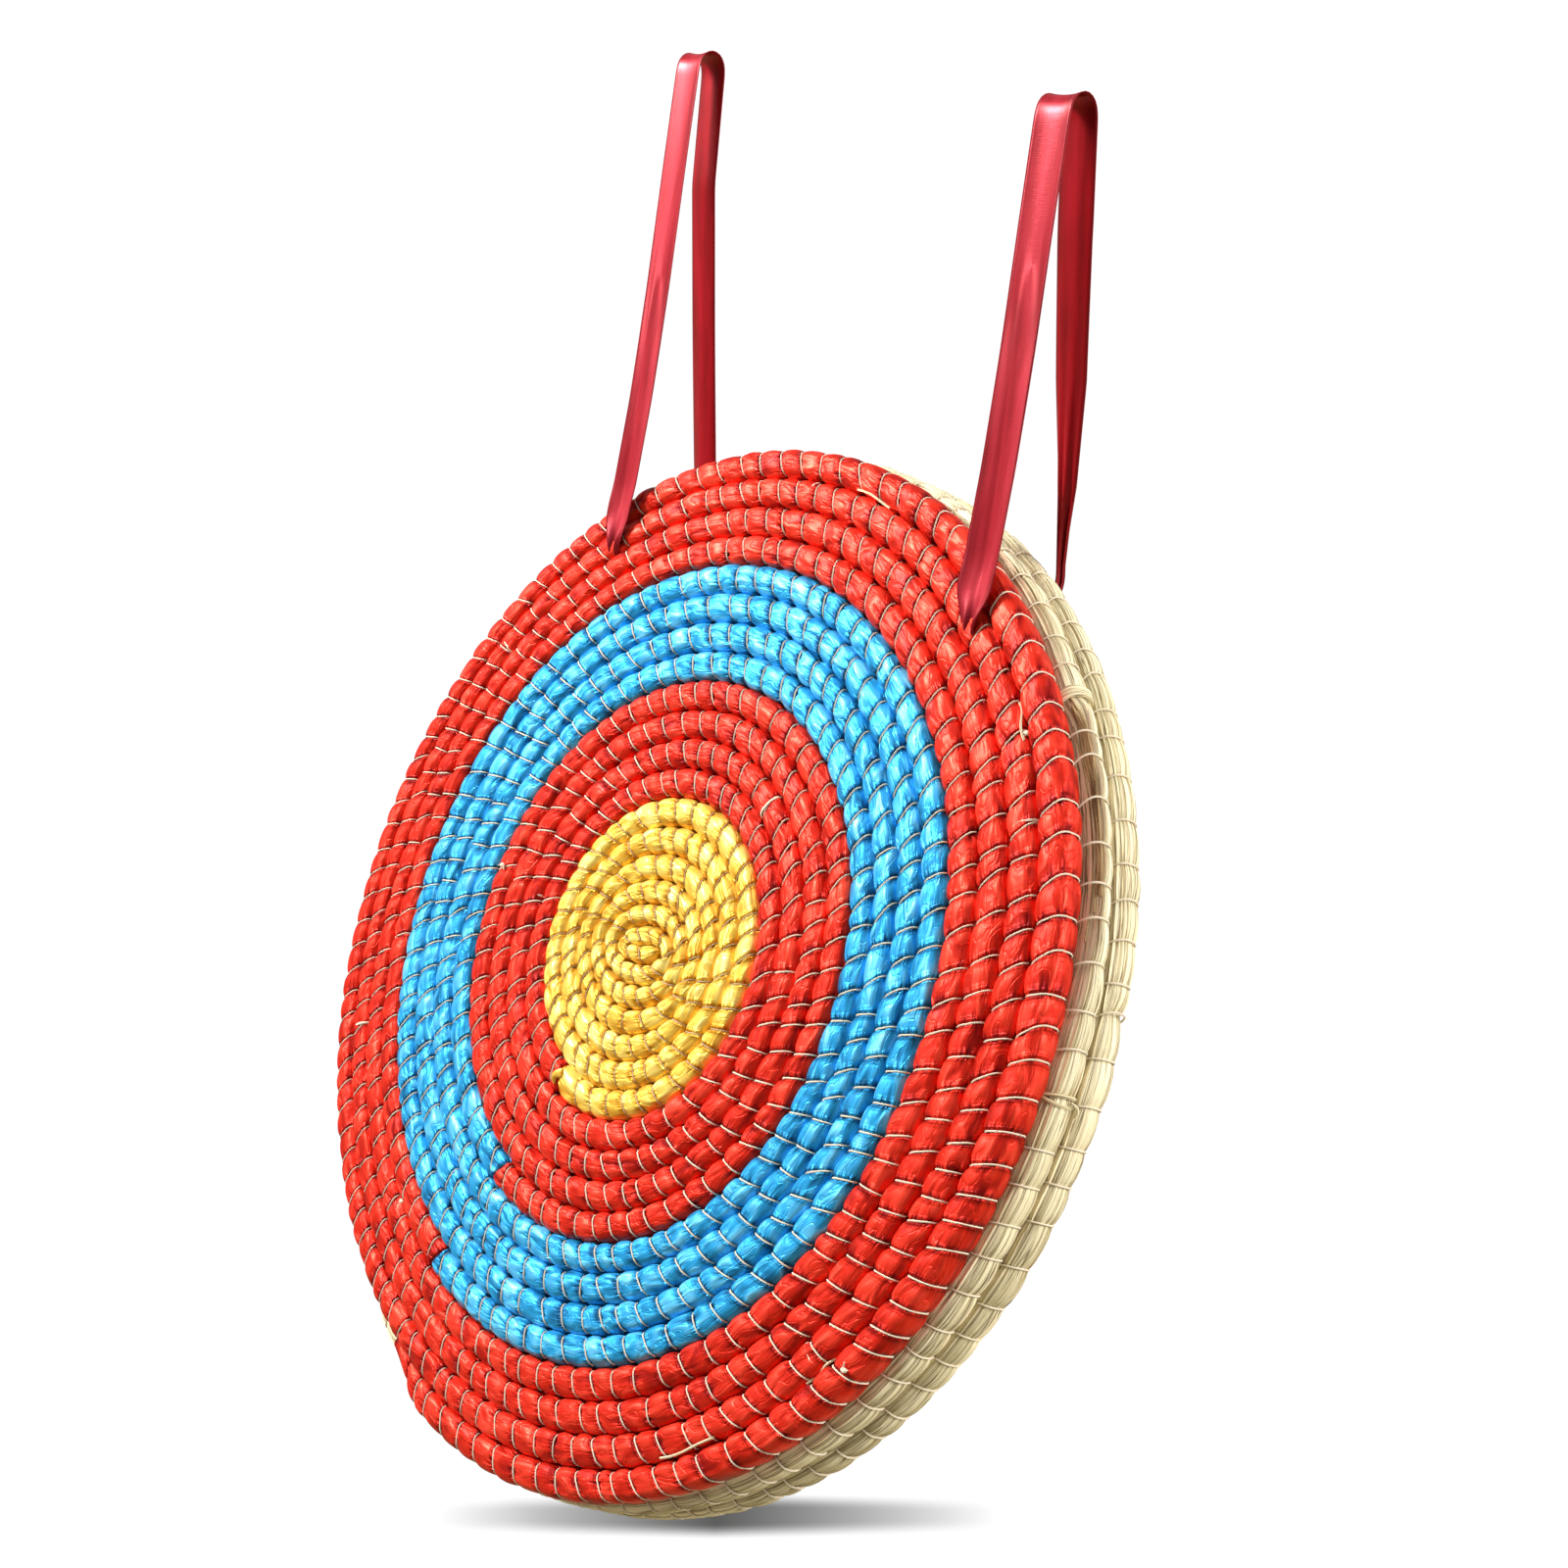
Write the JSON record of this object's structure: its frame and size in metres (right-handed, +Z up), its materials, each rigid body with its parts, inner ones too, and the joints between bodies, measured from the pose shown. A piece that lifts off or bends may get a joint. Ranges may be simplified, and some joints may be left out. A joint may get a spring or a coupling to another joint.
{
  "type": "archery target boss",
  "caption": "Round archery target boss of coiled straw rope, with a satin-wrapped coloured ring face, bare straw layers behind it and ribbon loops to hang it by.",
  "frame": {"origin": "the hanging point, midway between the middles of the two ribbon folds, where a hook or rod carries the boss", "axes": "+Z up, along the plumb ribbons; +Y away from the shooter; +X to the shooter's right. The boss hangs below the origin and leans back 27 degrees on its foot"},
  "size_m": [0.5054, 0.2699, 0.6569],
  "materials": {
    "satin_yellow": "satin wrapping",
    "satin_red": "satin wrapping",
    "satin_blue": "satin wrapping",
    "straw": "dry bare straw",
    "twine": "matt cotton twine",
    "ribbon": "satin ribbon"
  },
  "bodies": {
    "boss": {"yellow_centre_coil": "satin_yellow", "inner_red_coil": "satin_red", "blue_coil": "satin_blue", "outer_red_coil": "satin_red", "middle_straw_core": "straw", "middle_straw_coil": "straw", "back_straw_coil": "straw", "layer_tie_1": "twine", "layer_tie_2": "twine", "layer_tie_3": "twine", "layer_tie_4": "twine", "layer_tie_5": "twine", "layer_tie_6": "twine", "layer_tie_7": "twine", "layer_tie_8": "twine", "layer_tie_9": "twine", "left_strap_throat": "ribbon", "left_strap_knot": "ribbon", "left_strap_front_leg": "ribbon", "left_strap_back_leg": "ribbon", "right_strap_throat": "ribbon", "right_strap_knot": "ribbon", "right_strap_front_leg": "ribbon", "right_strap_back_leg": "ribbon"},
    "left_strap": {"left_strap_loop": "ribbon"},
    "right_strap": {"right_strap_loop": "ribbon"}
  },
  "joints": [
    {"name": "left_strap_swing", "type": "hinge", "parent": "boss", "child": "left_strap", "pos_m": [-0.134, -0.01796, -0.1968], "axis": [1, 0, 0], "range_deg": [-130, 100], "deforming": ["left_strap_front_leg", "left_strap_back_leg"]},
    {"name": "right_strap_swing", "type": "hinge", "parent": "boss", "child": "right_strap", "pos_m": [0.134, -0.01637, -0.19369], "axis": [1, 0, 0], "range_deg": [-130, 100], "deforming": ["right_strap_front_leg", "right_strap_back_leg"]}
  ]
}
